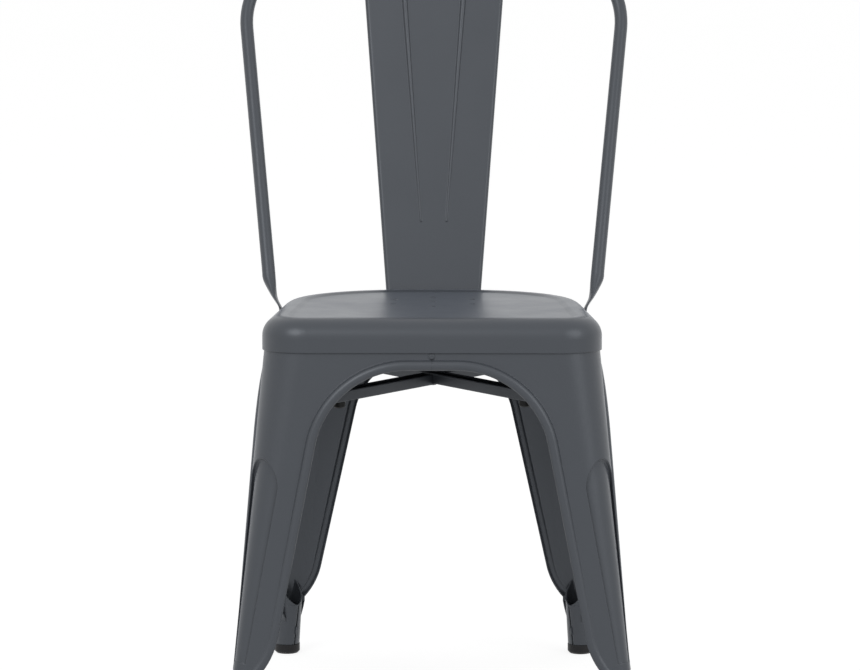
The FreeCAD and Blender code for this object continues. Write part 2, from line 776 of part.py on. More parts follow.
# Foot glides: a round cap under each rolled foot, with a stem that follows the foot's lean
def foot_glide(corner):
    name = f"{corner.name}_glide"
    r = S + "glide_radius"
    cap = turned(
        f"{name}_cap",
        [
            ("0", "0"),
            (f"{r} - sizes.glide_round", "0"),
            (r, S + "glide_round"),
            (r, S + "glide_height"),
            ("0", S + "glide_height"),
        ],
    )
    corner_ring = level_edges(number(S + "glide_round"))
    fillet(cap, f"{name}_edge", "sizes.glide_round / 2", corner_ring)
    x, y = corner.centre(S + "glide_height", S + "foot_radius")
    cap.setExpression("Placement", at(x, y))
    stem = foot_rod(
        corner, f"{name}_stem", "sizes.sheet_wall + sizes.fit_gap / 2",
        "(sizes.glide_height - 1)", "(sizes.glide_height + sizes.glide_stem)",
    )
    return combine("Part::MultiFuse", name, cap, stem)


# Back hoop: one bent tube whose ends are pressed flat and run down outside the seat's skirt
HOOP_CENTRE = "(sizes.hoop_height - sizes.hoop_tube / 2)"
HOOP_LEAN = (
    f"(atan((sizes.hoop_rear - sizes.hoop_base_rear) / ({HOOP_CENTRE} - sizes.hoop_base_height))"
    " / 1 deg)"
)
HOOP_RISE = f"(({HOOP_CENTRE} - sizes.hoop_base_height) / cos({HOOP_LEAN}))"
HOOP_START = f"(sizes.hoop_flat_start / cos({HOOP_LEAN}))"


def hoop_path(name):
    """Centre line of the round part of the hoop in its own leaning plane."""
    turn = f"rotationx(90 - {HOOP_LEAN})"
    sketch = free_sketch(name, at(y=S + "hoop_base_rear", z=S + "hoop_base_height", turn=turn))
    start_x = f"(sizes.hoop_base_half + {HOOP_START} * tan(sizes.hoop_lean_out))"
    lean = math.radians(SIZES["hoop_lean_out"])
    x, y, top, r = (number(e) for e in (start_x, HOOP_START, HOOP_RISE, S + "hoop_bend"))
    centre_y = top - r
    tangent_y = centre_y - r * math.sin(lean)
    tangent_x = x + (tangent_y - y) * math.tan(lean)
    centre_x = tangent_x - r * math.cos(lean)
    up = Vector(0, 0, 1)
    right = Part.ArcOfCircle(
        Part.Circle(Vector(centre_x, centre_y, 0), up, r), -lean, math.pi / 2
    )
    left = Part.ArcOfCircle(
        Part.Circle(Vector(-centre_x, centre_y, 0), up, r), math.pi / 2, math.pi + lean
    )
    sketch.addGeometry(
        [
            Part.LineSegment(Vector(x, y, 0), Vector(tangent_x, tangent_y, 0)),
            right,
            Part.LineSegment(Vector(centre_x, top, 0), Vector(-centre_x, top, 0)),
            left,
            Part.LineSegment(Vector(-tangent_x, tangent_y, 0), Vector(-x, y, 0)),
        ]
    )
    for n in range(4):
        link(sketch, "Tangent", n, 2, n + 1, 1)
    link(sketch, "Horizontal", 2)
    link(sketch, "Equal", 1, 3)
    constrain(sketch, "Radius", 1, to=S + "hoop_bend")
    constrain(sketch, "DistanceY", -1, 1, 2, 1, to=HOOP_RISE)
    for line, point, sign in ((0, 1, ""), (4, 2, "-")):
        constrain(sketch, "DistanceX", -1, 1, line, point, to=f"{sign}{start_x}")
        constrain(sketch, "DistanceY", -1, 1, line, point, to=HOOP_START)
    constrain(sketch, "Angle", 0, to="90 - sizes.hoop_lean_out")
    constrain(sketch, "Angle", 4, to="270 + sizes.hoop_lean_out")
    return sketch


def strip_centre(height):
    """Middle of the flat strip on the skirt's rear corner at a height, and its turn about Z."""
    y = f"(sizes.hoop_base_rear + ({height} - sizes.hoop_base_height) * tan({HOOP_LEAN}))"
    centre_y = "(sizes.seat_depth / 2 - sizes.seat_rear_corner)"
    centre_x = (
        f"({SEAT_SIDE} - {centre_y} * tan(sizes.plan_taper)"
        " - sizes.seat_rear_corner / cos(sizes.plan_taper))"
    )
    out = "(sizes.seat_rear_corner + sizes.fit_gap + sizes.strip_wall / 2)"
    x = f"({centre_x} + sqrt({out} ^ 2 - ({y} - {centre_y}) ^ 2))"
    yaw = f"(asin(({y} - {centre_y}) / {out}) / 1 deg)"
    return x, y, yaw


def hoop_end(name, shrink, tail):
    """Ellipses from the round tube down to the flat strip."""
    tube = "sizes.hoop_tube / 2"
    start = f"(sizes.hoop_base_height + sizes.hoop_flat_start)"
    start_x = f"(sizes.hoop_base_half + {HOOP_START} * tan(sizes.hoop_lean_out))"
    seat_x = strip_centre(S + "strip_seat_height")[0]
    stages = [
        (start, start_x, "0", "0"),
        (f"({start} - 4)", f"({start_x} - 4 * tan(sizes.hoop_lean_out))", "0", "0"),
    ]
    for height, share in (("(sizes.hoop_base_height + 8)", "0.55"), (S + "hoop_base_height", "0.85")):
        drop = f"(({start} - {height}) / ({start} - sizes.strip_seat_height))"
        x = f"({start_x} + ({seat_x} - {start_x}) * {drop} ^ 1.6)"
        stages.append((height, x, share, share))
    for height in (S + "strip_seat_height", "(sizes.strip_seat_height - 10)", f"(sizes.strip_end_height - {tail})"):
        stages.append((height, strip_centre(height)[0], "1", "1"))
    rings = []
    for n, (height, x, flat, turn) in enumerate(stages):
        ring = doc.addObject("Part::Ellipse", f"{name}_{n}")
        _, y, yaw = strip_centre(height)
        wide = f"({tube} + (sizes.strip_width / 2 - {tube}) * {flat})"
        thin = f"({tube} - ({tube} - sizes.strip_wall / 2) * {flat})"
        ring.setExpression("MajorRadius", f"{wide} - {shrink}")
        ring.setExpression("MinorRadius", f"{thin} - {shrink}")
        tilt = (
            f"rotationz({yaw} * {turn}) * rotationx(-{HOOP_LEAN})"
            f" * rotationy(sizes.hoop_lean_out * (1 - {flat})) * rotationz(90)"
        )
        ring.setExpression("Placement", at(x, y, height, tilt))
        rings.append(ring)
    return loft(name, rings, False)


def hoop_form(name, shrink, tail):
    """The hoop's solid form at a distance inside its surface."""
    ring = doc.addObject("Part::Circle", f"{name}_ring")
    ring.setExpression("Radius", f"sizes.hoop_tube / 2 - {shrink}")
    start_x = f"(sizes.hoop_base_half + {HOOP_START} * tan(sizes.hoop_lean_out))"
    y = f"(sizes.hoop_base_rear + sizes.hoop_flat_start * tan({HOOP_LEAN}))"
    ring.setExpression(
        "Placement",
        at(
            start_x, y, "(sizes.hoop_base_height + sizes.hoop_flat_start)",
            f"rotationx(-{HOOP_LEAN}) * rotationy(sizes.hoop_lean_out)",
        ),
    )
    tube = sweep(f"{name}_tube", ring, hoop_path(f"{name}_path"))
    right = hoop_end(f"{name}_right_end", shrink, tail)
    left = mirror(f"{name}_left_end", right, ACROSS)
    return combine("Part::MultiFuse", name, tube, right, left)


def back_hoop():
    outer = hoop_form("hoop_outer", "0", "0")
    bore = hoop_form("hoop_bore", S + "hoop_wall", "2")
    return combine("Part::Cut", "hoop", outer, bore)


# Back splat: a tapering sheet with hems folded to the rear, two pressed ribs and a tab behind the seat
SPLAT_FRONT = "(sizes.seat_depth / 2 + 2 * sizes.fit_gap)"
SPLAT_RUN = f"(sizes.hoop_rear - {SPLAT_FRONT} - sizes.splat_wall / 2)"
SPLAT_RISE = f"({HOOP_CENTRE} - sizes.splat_bend_height)"
SPLAT_LEAN = f"(atan({SPLAT_RUN} / {SPLAT_RISE}) / 1 deg)"
SPLAT_LENGTH = f"(sqrt({SPLAT_RUN} ^ 2 + {SPLAT_RISE} ^ 2) - sizes.hoop_tube / 2 - sizes.fit_gap)"


def folded_outline(sketch, half, front, rear, radius):
    """Section of the splat's form: a rectangle with both front corners rounded."""
    h, f, b, r = (number(e) for e in (half, front, rear, radius))
    up = Vector(0, 0, 1)
    right = Part.ArcOfCircle(Part.Circle(Vector(h - r, f + r, 0), up, r), -math.pi / 2, 0)
    left = Part.ArcOfCircle(Part.Circle(Vector(r - h, f + r, 0), up, r), math.pi, 1.5 * math.pi)
    sketch.addGeometry(
        [
            Part.LineSegment(Vector(r - h, f, 0), Vector(h - r, f, 0)),
            right,
            Part.LineSegment(Vector(h, f + r, 0), Vector(h, b, 0)),
            Part.LineSegment(Vector(h, b, 0), Vector(-h, b, 0)),
            Part.LineSegment(Vector(-h, b, 0), Vector(-h, f + r, 0)),
            left,
        ]
    )
    for first, second in ((0, 1), (1, 2), (4, 5), (5, 0)):
        link(sketch, "Tangent", first, 2, second, 1)
    for first, second in ((2, 3), (3, 4)):
        link(sketch, "Coincident", first, 2, second, 1)
    for line in (2, 4):
        link(sketch, "Vertical", line)
    for arc, sign in ((1, ""), (5, "-")):
        constrain(sketch, "Radius", arc, to=radius)
        constrain(sketch, "DistanceX", -1, 1, arc, 3, to=f"{sign}({half} - {radius})")
        constrain(sketch, "DistanceY", -1, 1, arc, 3, to=f"{front} + {radius}")
        constrain(sketch, "DistanceY", -1, 1, 2 if arc == 1 else 3, 2, to=rear)


def splat_form(name, inset, rear, past):
    """Tapering form along the splat at a distance inside its surface, run past both ends."""
    body = doc.addObject("PartDesign::Body", name)
    grow = f"(sizes.splat_top_width - sizes.splat_foot_width) / 2 / {SPLAT_LENGTH} * {past}"
    ends = []
    for end, half, height in (
        ("foot", f"(sizes.splat_foot_width / 2 - {inset} - {grow})", f"-{past}"),
        ("top", f"(sizes.splat_top_width / 2 - {inset} + {grow})", f"({SPLAT_LENGTH} + {past})"),
    ):
        sketch = body_sketch(body, f"{name}_{end}")
        sketch.setExpression("AttachmentOffset", at(z=height))
        folded_outline(sketch, half, inset, rear, f"(sizes.splat_fold - {inset})")
        ends.append(sketch)
    body_loft(body, f"{name}_loft", "Additive", *ends)
    return body


def splat_rib(name, side, shrink, back):
    """Tapering half-round rib in the face of the splat."""
    foot = f"((sizes.rib_foot_height - sizes.splat_bend_height) / cos({SPLAT_LEAN}))"
    top = f"((sizes.rib_top_height - sizes.splat_bend_height) / cos({SPLAT_LEAN}))"
    rise = f"({top} - {foot})"
    spread = "(sizes.rib_top_spread - sizes.rib_foot_spread)"
    turn = f"rotationy({side} * (atan({spread} / {rise}) / 1 deg))"
    cone = solid(
        "Part::Cone", name,
        Radius1=f"sizes.rib_foot_radius - {shrink}",
        Radius2=f"sizes.rib_top_radius - {shrink}",
        Height=f"sqrt({rise} ^ 2 + {spread} ^ 2)",
    )
    start = at(f"{side} * sizes.rib_foot_spread", back, foot, turn)
    cone.setExpression("Placement", start)
    return cone


def back_splat():
    outer = splat_form("splat_outer", "0", S + "splat_hem", "0")
    inner = splat_form("splat_inner", S + "splat_wall", "2 * sizes.splat_hem", "5")
    sheet = combine("Part::Cut", "splat_sheet", outer, inner)
    ribs = [splat_rib(f"splat_rib_{n}", side, "0", "0.2") for n, side in enumerate(("-1", "1"))]
    ribbed = combine("Part::MultiFuse", "splat_ribbed", sheet, *ribs)
    for n, side in enumerate(("-1", "1")):
        groove = splat_rib(f"splat_groove_{n}", side, "0.9", S + "splat_wall")
        ribbed = combine("Part::Cut", f"splat_grooved_{n}", ribbed, groove)
    ribbed.setExpression(
        "Placement", at("0", SPLAT_FRONT, S + "splat_bend_height", f"rotationx(-{SPLAT_LEAN})")
    )
    tab = solid(
        "Part::Box", "splat_tab",
        Length="sizes.splat_foot_width - 2 * sizes.splat_fold",
        Width=S + "splat_wall",
        Height="sizes.splat_bend_height - sizes.splat_foot_height + 0.2",
    )
    tab.setExpression(
        "Placement",
        at("sizes.splat_fold - sizes.splat_foot_width / 2", SPLAT_FRONT, S + "splat_foot_height"),
    )
    return combine("Part::MultiFuse", "splat", ribbed, tab)


# Crossed braces: two open channels whose ends seat inside the corners of the leg frame
BRACE_YAW = (
    "(atan((sizes.brace_centre_rear + sizes.brace_front_reach) / sizes.brace_front_corner) / 1 deg)"
)


def brace_place(turn, x="0", y="0", z="0"):
    frame = at(y=S + "brace_centre_rear", z=S + "brace_height", turn="rotationx(sizes.brace_tilt)")
    return f"{frame} * placement(vector(0; 0; 0); rotationz({turn})) * {at(x, y, z)}"


def brace_box(name, turn, across, low, high, length=S + "brace_length"):
    box = solid(
        "Part::Box", name,
        Length=f"2 * {length}", Width=f"2 * ({across})", Height=f"{high} - ({low})",
    )
    box.setExpression("Placement", brace_place(turn, f"-{length}", f"-({across})", low))
    return box


def brace_pin(name, turn, radius, distance):
    """Vertical cutter for a hole through a channel's web."""
    pin = solid("Part::Cylinder", name, Radius=radius, Height="6 * sizes.sheet_wall")
    pin.setExpression("Placement", brace_place(turn, distance, "0", "-2 * sizes.sheet_wall"))
    return pin


def cross_brace(name, turn, lift, interior, notch):
    """One channel: open upwards, its web pierced for the rivet and the bumpers."""
    half = "sizes.brace_width / 2"
    floor = f"({lift} + sizes.sheet_wall)"
    bar = combine(
        "Part::Cut", f"{name}_channel",
        brace_box(f"{name}_outer", turn, half, lift, f"({lift} + sizes.brace_depth)"),
        brace_box(f"{name}_inner", turn, f"{half} - sizes.sheet_wall", floor, "2 * sizes.brace_depth"),
    )
    if notch:
        bar = combine("Part::Cut", f"{name}_notched", bar, notch)
    hole = "sizes.rivet_shank + sizes.fit_gap / 2"
    bar = combine("Part::Cut", f"{name}_drilled", bar, brace_pin(f"{name}_rivet_hole", turn, hole, "0"))
    hole = "sizes.bumper_neck + sizes.fit_gap / 2"
    for end, distance in (("front", "-sizes.bumper_distance"), ("rear", S + "bumper_rear_distance")):
        pin = brace_pin(f"{name}_{end}_hole", turn, hole, distance)
        bar = combine("Part::Cut", f"{name}_{end}_drilled", bar, pin)
    return combine("Part::MultiCommon", name, bar, interior)


def leg_frame_interior():
    """The space inside all four legs, a fit gap away from their sheet."""
    inset = "(sizes.sheet_wall + sizes.fit_gap)"
    quarters = [
        quarter_block(corner, f"{corner.name}_interior", inset, SEAM_OVERRUN)
        for corner in (FRONT, REAR)
    ]
    right = combine("Part::MultiFuse", "interior_right", *quarters)
    left = mirror("interior_left", right, ACROSS)
    return combine("Part::MultiFuse", "interior", right, left)


def brace_rivet():
    r = S + "rivet_shank"
    head = S + "rivet_head"
    tall = S + "rivet_head_height"
    webs = f"(2 * sizes.sheet_wall)"
    edge = f"({tall} / 3)"
    body = turned(
        "rivet",
        [
            ("0", f"-{tall}"),
            (f"0.6 * {head}", f"-{tall}"),
            (head, f"-{edge}"),
            (head, "0"),
            (r, "0"),
            (r, webs),
            (head, webs),
            (head, f"{webs} + {edge}"),
            (f"0.6 * {head}", f"{webs} + {tall}"),
            ("0", f"{webs} + {tall}"),
        ],
    )
    body.setExpression("Placement", brace_place("0"))
    return body


def bumper(name, turn, distance, lift):
    """Push-in bumper below a channel's web, held by a small barb above it."""
    r = S + "bumper_radius"
    neck = S + "bumper_neck"
    wall = S + "sheet_wall"
    body = turned(
        name,
        [
            ("0", "-sizes.bumper_height"),
            (f"{r} - 1.5", "-sizes.bumper_height"),
            (r, "1.5 - sizes.bumper_height"),
            (r, "0"),
            (neck, "0"),
            (neck, wall),
            (f"{neck} + 1.2", wall),
            (f"{neck} - 0.6", f"{wall} + 4"),
            ("0", f"{wall} + 4"),
        ],
    )
    body.setExpression("Placement", brace_place(turn, distance, "0", lift))
    return body


# Welds: small pads on the apron seams, tacks in the foot slits and beads at the hoop and the splat
def seam_pad(wall, edge, outward):
    """Rounded pad on the outer face of an apron, just below the seat's skirt."""
    name = f"{wall.name}_pad"
    body = doc.addObject("PartDesign::Body", name)
    half = "sizes.weld_width / 2"
    low = f"({edge} - sizes.weld_length - sizes.fit_gap - {wall.top}) / cos({wall.tilt})"
    high = f"({edge} - sizes.fit_gap - {wall.top}) / cos({wall.tilt})"
    sketch = body_sketch(body, f"{name}_outline")
    polygon(sketch, [(f"-{half}", low), (half, low), (half, high), (f"-{half}", high)])
    block = pad(body, f"{name}_block", sketch, S + "weld_proud")
    block.Reversed = not outward
    upright = lambda edge: abs(edge.Vertexes[0].Z - edge.Vertexes[-1].Z) > 0.1
    fillet(body, f"{name}_corners", "sizes.weld_width / 3", upright)
    face = number(S + "weld_proud") * (1 if outward else -1)
    fillet(body, f"{name}_crown", "0.7 * sizes.weld_proud", level_edges(face))
    body.setExpression("Placement", wall.place())
    return body


def foot_tack(corner):
    """Tack that closes the slit of a rolled foot."""
    name = f"{corner.name}_tack"
    low = "(sizes.tack_height - 2 * sizes.tack_length)"
    high = "(sizes.tack_height + 2 * sizes.tack_length)"
    cap = combine(
        "Part::Cut", f"{name}_cap",
        foot_box(
            corner, f"{name}_cap_box", S + "tack_height", S + "tack_length", S + "tack_width",
            "sizes.foot_radius / 2", "sizes.foot_radius + sizes.weld_proud",
        ),
        foot_rod(corner, f"{name}_surface", "0", low, high),
    )
    neck = combine(
        "Part::Cut", f"{name}_neck",
        foot_box(
            corner, f"{name}_neck_box", S + "tack_height", "0.9 * sizes.tack_length",
            "0.9 * sizes.foot_slit", "sizes.foot_radius / 2",
            "sizes.foot_radius + sizes.weld_proud / 2",
        ),
        foot_rod(corner, f"{name}_bore", S + "sheet_wall", low, high),
    )
    return combine("Part::MultiFuse", name, cap, neck)


def weld_bead(name, length, placement):
    """Straight bead with rounded ends along its own Z."""
    r = S + "bead_weld_radius"
    end = f"0.6 * {r}"
    body = turned(
        name,
        [
            ("0", f"-{length} / 2"),
            (end, f"-{length} / 2"),
            (r, f"{end} - {length} / 2"),
            (r, f"{length} / 2 - {end}"),
            (end, f"{length} / 2"),
            ("0", f"{length} / 2"),
        ],
    )
    body.setExpression("Placement", placement)
    return body


def hoop_end_welds():
    """A bead along each edge of both flat strips, touching the strip and the skirt."""
    middle = f"({SKIRT_MIDDLE} + sizes.hoop_weld_length / 2)"
    x, y, yaw = strip_centre(middle)
    frame = at(x, y, middle, f"rotationz({yaw}) * rotationx(-{HOOP_LEAN})")
    reach = "(sizes.strip_width / 2 + sizes.bead_weld_radius)"
    beads = []
    for end, sign in (("front", "-"), ("rear", "")):
        place = f"{frame} * {at('0', sign + reach, '0')}"
        bead = weld_bead(f"hoop_{end}_bead", S + "hoop_weld_length", place)
        beads += [bead, mirror(f"hoop_{end}_bead_left", bead, ACROSS)]
    return combine("Part::MultiFuse", "hoop_beads", *beads)


def splat_welds():
    """Three beads behind the splat's top edge, touching it and the underside of the hoop."""
    r = S + "bead_weld_radius"
    tube = "sizes.hoop_tube / 2"
    behind = f"(sizes.splat_wall + {r})"
    drop = f"sqrt(({tube} + {r}) ^ 2 - (sizes.splat_wall / 2 + {r}) ^ 2)"
    along = f"({SPLAT_LENGTH} + {tube} + sizes.fit_gap - {drop})"
    frame = at("0", SPLAT_FRONT, S + "splat_bend_height", f"rotationx(-{SPLAT_LEAN})")
    beads = []
    for n in (-1, 0, 1):
        place = f"{frame} * {at(f'{n} * sizes.splat_weld_pitch', behind, along, 'rotationy(90)')}"
        beads.append(weld_bead(f"splat_bead_{n + 1}", S + "splat_weld_length", place))
    return combine("Part::MultiFuse", "splat_beads", *beads)


def keep_pair(right, name):
    """Keeps a finished right-hand piece and its mirror image on the left."""
    keep(right, name.format("right"))
    left = mirror(f"{right.Name}_mirrored", right, ACROSS)
    left.Label = name.format("left")
    PARTS.append(left)


# Assembly
keep(seat_pan(), "seat_pan")
for corner in (FRONT, REAR):
    keep_pair(leg(corner), f"{corner.name}_{{}}_leg")
    keep_pair(foot_glide(corner), f"{corner.name}_{{}}_glide")
keep(back_hoop(), "back_hoop")
keep(back_splat(), "back_splat")

BRACE_TURNS = {"lower": BRACE_YAW, "upper": f"(180 - {BRACE_YAW})"}
BRACE_LIFTS = {"lower": "0", "upper": S + "sheet_wall"}
interior_space = leg_frame_interior()
crossing_notch = brace_box(
    "brace_notch", BRACE_TURNS["upper"], "sizes.brace_width / 2 + sizes.fit_gap",
    S + "sheet_wall", "2 * sizes.brace_depth", "1.5 * sizes.brace_width",
)
for level, brace_turn in BRACE_TURNS.items():
    lift = BRACE_LIFTS[level]
    notch = crossing_notch if level == "lower" else None
    brace = cross_brace(f"{level}_brace", brace_turn, lift, interior_space, notch)
    keep(brace, f"cross_brace_{level}")
    front_side, rear_side = ("left", "right") if level == "lower" else ("right", "left")
    for end, hand, distance in (
        ("front", front_side, "-sizes.bumper_distance"),
        ("rear", rear_side, S + "bumper_rear_distance"),
    ):
        keep(bumper(f"{end}_{hand}_plug", brace_turn, distance, lift), f"{end}_{hand}_bumper")
keep(brace_rivet(), "brace_rivet")

pads = []
tacks = []
for corner, face_outward in ((FRONT, True), (REAR, False)):
    pads.append(seam_pad(Wall(corner, "face"), corner.edge, face_outward))
    tacks.append(foot_tack(corner))
    tacks.append(mirror(f"{corner.name}_tack_left", tacks[-1], ACROSS))
side_pad = seam_pad(Wall(REAR, "side"), SKIRT_MIDDLE, True)
pads += [side_pad, mirror("side_pad_left", side_pad, ACROSS)]
keep(combine("Part::MultiFuse", "seam_pads", *pads), "apron_seam_welds")
keep(combine("Part::MultiFuse", "tacks", *tacks), "foot_seam_tacks")
keep(hoop_end_welds(), "hoop_end_welds")
keep(splat_welds(), "splat_welds")
doc.recompute()

# Check every object, then write one STEP file per piece
faulty = [
    item.Name for item in doc.Objects
    if "Invalid" in item.State or "Error" in item.State
    or (hasattr(item, "Shape") and item.Shape.isNull())
]
faulty += [piece.Label for piece in PARTS if not piece.Shape.isValid() or not piece.Shape.Solids]
if faulty:
    raise RuntimeError(f"objects that failed: {faulty}")
os.makedirs("parts", exist_ok=True)
for piece in PARTS:
    piece.Shape.exportStep(f"parts/{piece.Label}.step")
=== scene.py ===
import math

import bmesh
import bpy
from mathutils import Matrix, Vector


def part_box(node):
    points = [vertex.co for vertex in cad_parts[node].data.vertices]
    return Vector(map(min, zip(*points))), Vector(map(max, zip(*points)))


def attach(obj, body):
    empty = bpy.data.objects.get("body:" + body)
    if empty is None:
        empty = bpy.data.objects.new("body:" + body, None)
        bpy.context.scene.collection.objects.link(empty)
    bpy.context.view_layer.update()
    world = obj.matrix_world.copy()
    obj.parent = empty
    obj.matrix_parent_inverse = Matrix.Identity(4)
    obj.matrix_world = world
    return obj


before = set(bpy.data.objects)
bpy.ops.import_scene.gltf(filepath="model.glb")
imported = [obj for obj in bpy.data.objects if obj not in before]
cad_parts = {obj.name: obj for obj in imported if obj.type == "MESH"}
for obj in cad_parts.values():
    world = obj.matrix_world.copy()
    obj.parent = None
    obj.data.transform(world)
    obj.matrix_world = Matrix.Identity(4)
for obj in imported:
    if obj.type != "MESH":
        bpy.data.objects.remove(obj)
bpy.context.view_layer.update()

# Metres, degrees and watts, unless said otherwise. The chair stands on z = 0 and faces -Y.
CAMERA_PLACE = (0.0276, -5.0494, 1.085)
CAMERA_PITCH = 7.68
CAMERA_YAW = 0.35
LENS_MILLIMETRES = 188.8
SENSOR_MILLIMETRES = 36
VIEW_DEPTH = 100
FLOOR_SIZE = 60
KEY_PLACE = (-1.9, -3.2, 2.9)
KEY_ENERGY = 53
FILL_PLACE = (2.6, -2.4, 2.1)
FILL_ENERGY = 28
LAMP_SIZE = 2.6
LAMP_TARGET = (0, 0, 0.45)
WORLD_STRENGTH = 0.55

# Colours are linear
WHITE = (1, 1, 1, 1)
FLOOR_GREY = (0.32, 0.32, 0.32, 1)
FLOOR_GLOW = 0.82
FLOOR_ROUGHNESS = 0.9
COAT = (0.049, 0.054, 0.063, 1)
COAT_LIGHT = (0.057, 0.063, 0.073, 1)
WELD = (0.045, 0.050, 0.058, 1)
PLASTIC = (0.007, 0.007, 0.008, 1)
RUBBER = (0.010, 0.010, 0.010, 1)
COOL_GLOSS = (0.88, 0.93, 1.0, 1)
COOL_SHEEN = (0.70, 0.80, 1.0, 1)

# Powder coat. A texture's scale is in cells to the metre.
PEEL = {"Scale": 900, "Detail": 3, "Roughness": 0.55}
PEEL_DEPTH = 0.00012
PEEL_STRENGTH = 0.35
SPECKLE = {"Scale": 2600, "Detail": 2, "Roughness": 0.7}
SPECKLE_RANGE = (0.35, 0.65)
CLOUD = {"Scale": 14, "Detail": 4, "Roughness": 0.6}
CLOUD_RANGE = (0.3, 0.7)
COAT_ROUGHNESS = (0.31, 0.39)
COAT_SPECULAR = 0.6
SHEEN_WEIGHT = 0.10
SHEEN_ROUGHNESS = 0.35
SOFT_EDGE = 0.0018
EDGE_SAMPLES = 6
WELD_GRAIN = 2
RIPPLE = {"Scale": 220, "Distortion": 3, "Detail": 2}
RIPPLE_DEPTH = 0.0004
RIPPLE_STRENGTH = 0.8

# Moulded plastic and rubber
SCUFF = {"Scale": 120, "Detail": 5, "Roughness": 0.65}
SCUFF_RANGE = (0.5, 0.9)
SCUFF_LIGHTER = 1.8
GRAIN_DEPTH = 0.0001
GRAIN_STRENGTH = 0.4
MOULDED_SPECULAR = 0.3
GLIDE_ROUGHNESS = (0.40, 0.58)
GLIDE_GRAIN = {"Scale": 1500, "Randomness": 1}
BUMPER_ROUGHNESS = (0.54, 0.72)
BUMPER_GRAIN = {"Scale": 900, "Randomness": 1}

# Shading is smooth over edges that turn by less than this
SMOOTH_ANGLE = math.radians(32)

# Feet: where the sheet's edges curl in to become the rolled foot.
# Each foot's axis leans as its two walls do, and its place comes from the glide below it.
GLIDE_RADIUS = 0.0149
GLIDE_HEIGHT = 0.011
FOOT_RADIUS = 0.0145
FOOT_TOP = 0.060
SHEET_WALL = 0.0014
PLAN_TAPER = math.radians(4)
LEANS = {"front": (5.27, 4.75), "rear": (9.08, 4.2)}
COLLAR_RADIUS = 0.0143
COLLAR_RISE = 0.030
COLLAR_OVERLAP = 0.002
COLLAR_SWEEP = 1.4
SLIT_TURN = 4
CREST_TURN = 118
LAST_TURN = 150
NECK_DROP = 0.020
NECK_CLEAR = 0.0001
NECK_CURL = 0.7
NECK_LEAST_CURL = 0.001
NECK_LENGTHS = {"front": (0.0159, 0.0159), "rear": (0.0174, 0.0220)}
STEPS = 40
RINGS = 10


def shader(name):
    """A new material with its node tree and its Principled shader."""
    material = bpy.data.materials.new(name)
    material.use_nodes = True
    tree = material.node_tree
    return material, tree, tree.nodes["Principled BSDF"]


def texture(tree, kind, settings):
    """A procedural texture that is fixed to the chair's own coordinates."""
    coords = tree.nodes.new("ShaderNodeTexCoord")
    node = tree.nodes.new(f"ShaderNodeTex{kind}")
    for key, value in settings.items():
        node.inputs[key].default_value = value
    tree.links.new(coords.outputs["Object"], node.inputs["Vector"])
    return node


def remap(tree, value, to, start=(0, 1)):
    """The value spread from one range over another."""
    node = tree.nodes.new("ShaderNodeMapRange")
    node.inputs["From Min"].default_value, node.inputs["From Max"].default_value = start
    node.inputs["To Min"].default_value, node.inputs["To Max"].default_value = to
    tree.links.new(value, node.inputs["Value"])
    return node.outputs["Result"]


def blend_colour(tree, factor, first, second):
    """A colour between two, as the factor says."""
    node = tree.nodes.new("ShaderNodeMix")
    node.data_type = "RGBA"
    # The colour sockets share their names with hidden ones, so they go by number
    factor_in, first_in, second_in, colour_out = (0, 6, 7, 2)
    node.inputs[first_in].default_value = first
    node.inputs[second_in].default_value = second
    tree.links.new(factor, node.inputs[factor_in])
    return node.outputs[colour_out]


def bump(tree, height, distance, strength, after=None):
    """The normal of a surface raised by a height."""
    node = tree.nodes.new("ShaderNodeBump")
    node.inputs["Distance"].default_value = distance
    node.inputs["Strength"].default_value = strength
    tree.links.new(height, node.inputs["Height"])
    if after:
        tree.links.new(after, node.inputs["Normal"])
    return node.outputs["Normal"]


def rounded_edges(tree):
    """The normal of an edge that the coating has rounded over."""
    node = tree.nodes.new("ShaderNodeBevel")
    node.samples = EDGE_SAMPLES
    node.inputs["Radius"].default_value = SOFT_EDGE
    return node.outputs["Normal"]


def powder_coat(name, dark, light, grain=1, rippled=False):
    """Satin powder coat: orange peel, a fine speckle of pigment and cloudy gloss."""
    material, tree, bsdf = shader(name)
    link = tree.links.new
    peel = texture(tree, "Noise", PEEL)
    speckle = texture(tree, "Noise", SPECKLE)
    cloud = texture(tree, "Noise", CLOUD)
    pigment = remap(tree, speckle.outputs["Fac"], (0, 1), SPECKLE_RANGE)
    link(blend_colour(tree, pigment, dark, light), bsdf.inputs["Base Color"])
    gloss = remap(tree, cloud.outputs["Fac"], COAT_ROUGHNESS, CLOUD_RANGE)
    link(gloss, bsdf.inputs["Roughness"])
    edges = rounded_edges(tree)
    surface = bump(tree, peel.outputs["Fac"], PEEL_DEPTH * grain, PEEL_STRENGTH, edges)
    if rippled:
        waves = texture(tree, "Wave", RIPPLE)
        surface = bump(tree, waves.outputs["Fac"], RIPPLE_DEPTH, RIPPLE_STRENGTH, surface)
    link(surface, bsdf.inputs["Normal"])
    bsdf.inputs["Specular IOR Level"].default_value = COAT_SPECULAR
    bsdf.inputs["Specular Tint"].default_value = COOL_GLOSS
    bsdf.inputs["Sheen Weight"].default_value = SHEEN_WEIGHT
    bsdf.inputs["Sheen Roughness"].default_value = SHEEN_ROUGHNESS
    bsdf.inputs["Sheen Tint"].default_value = COOL_SHEEN
    return material


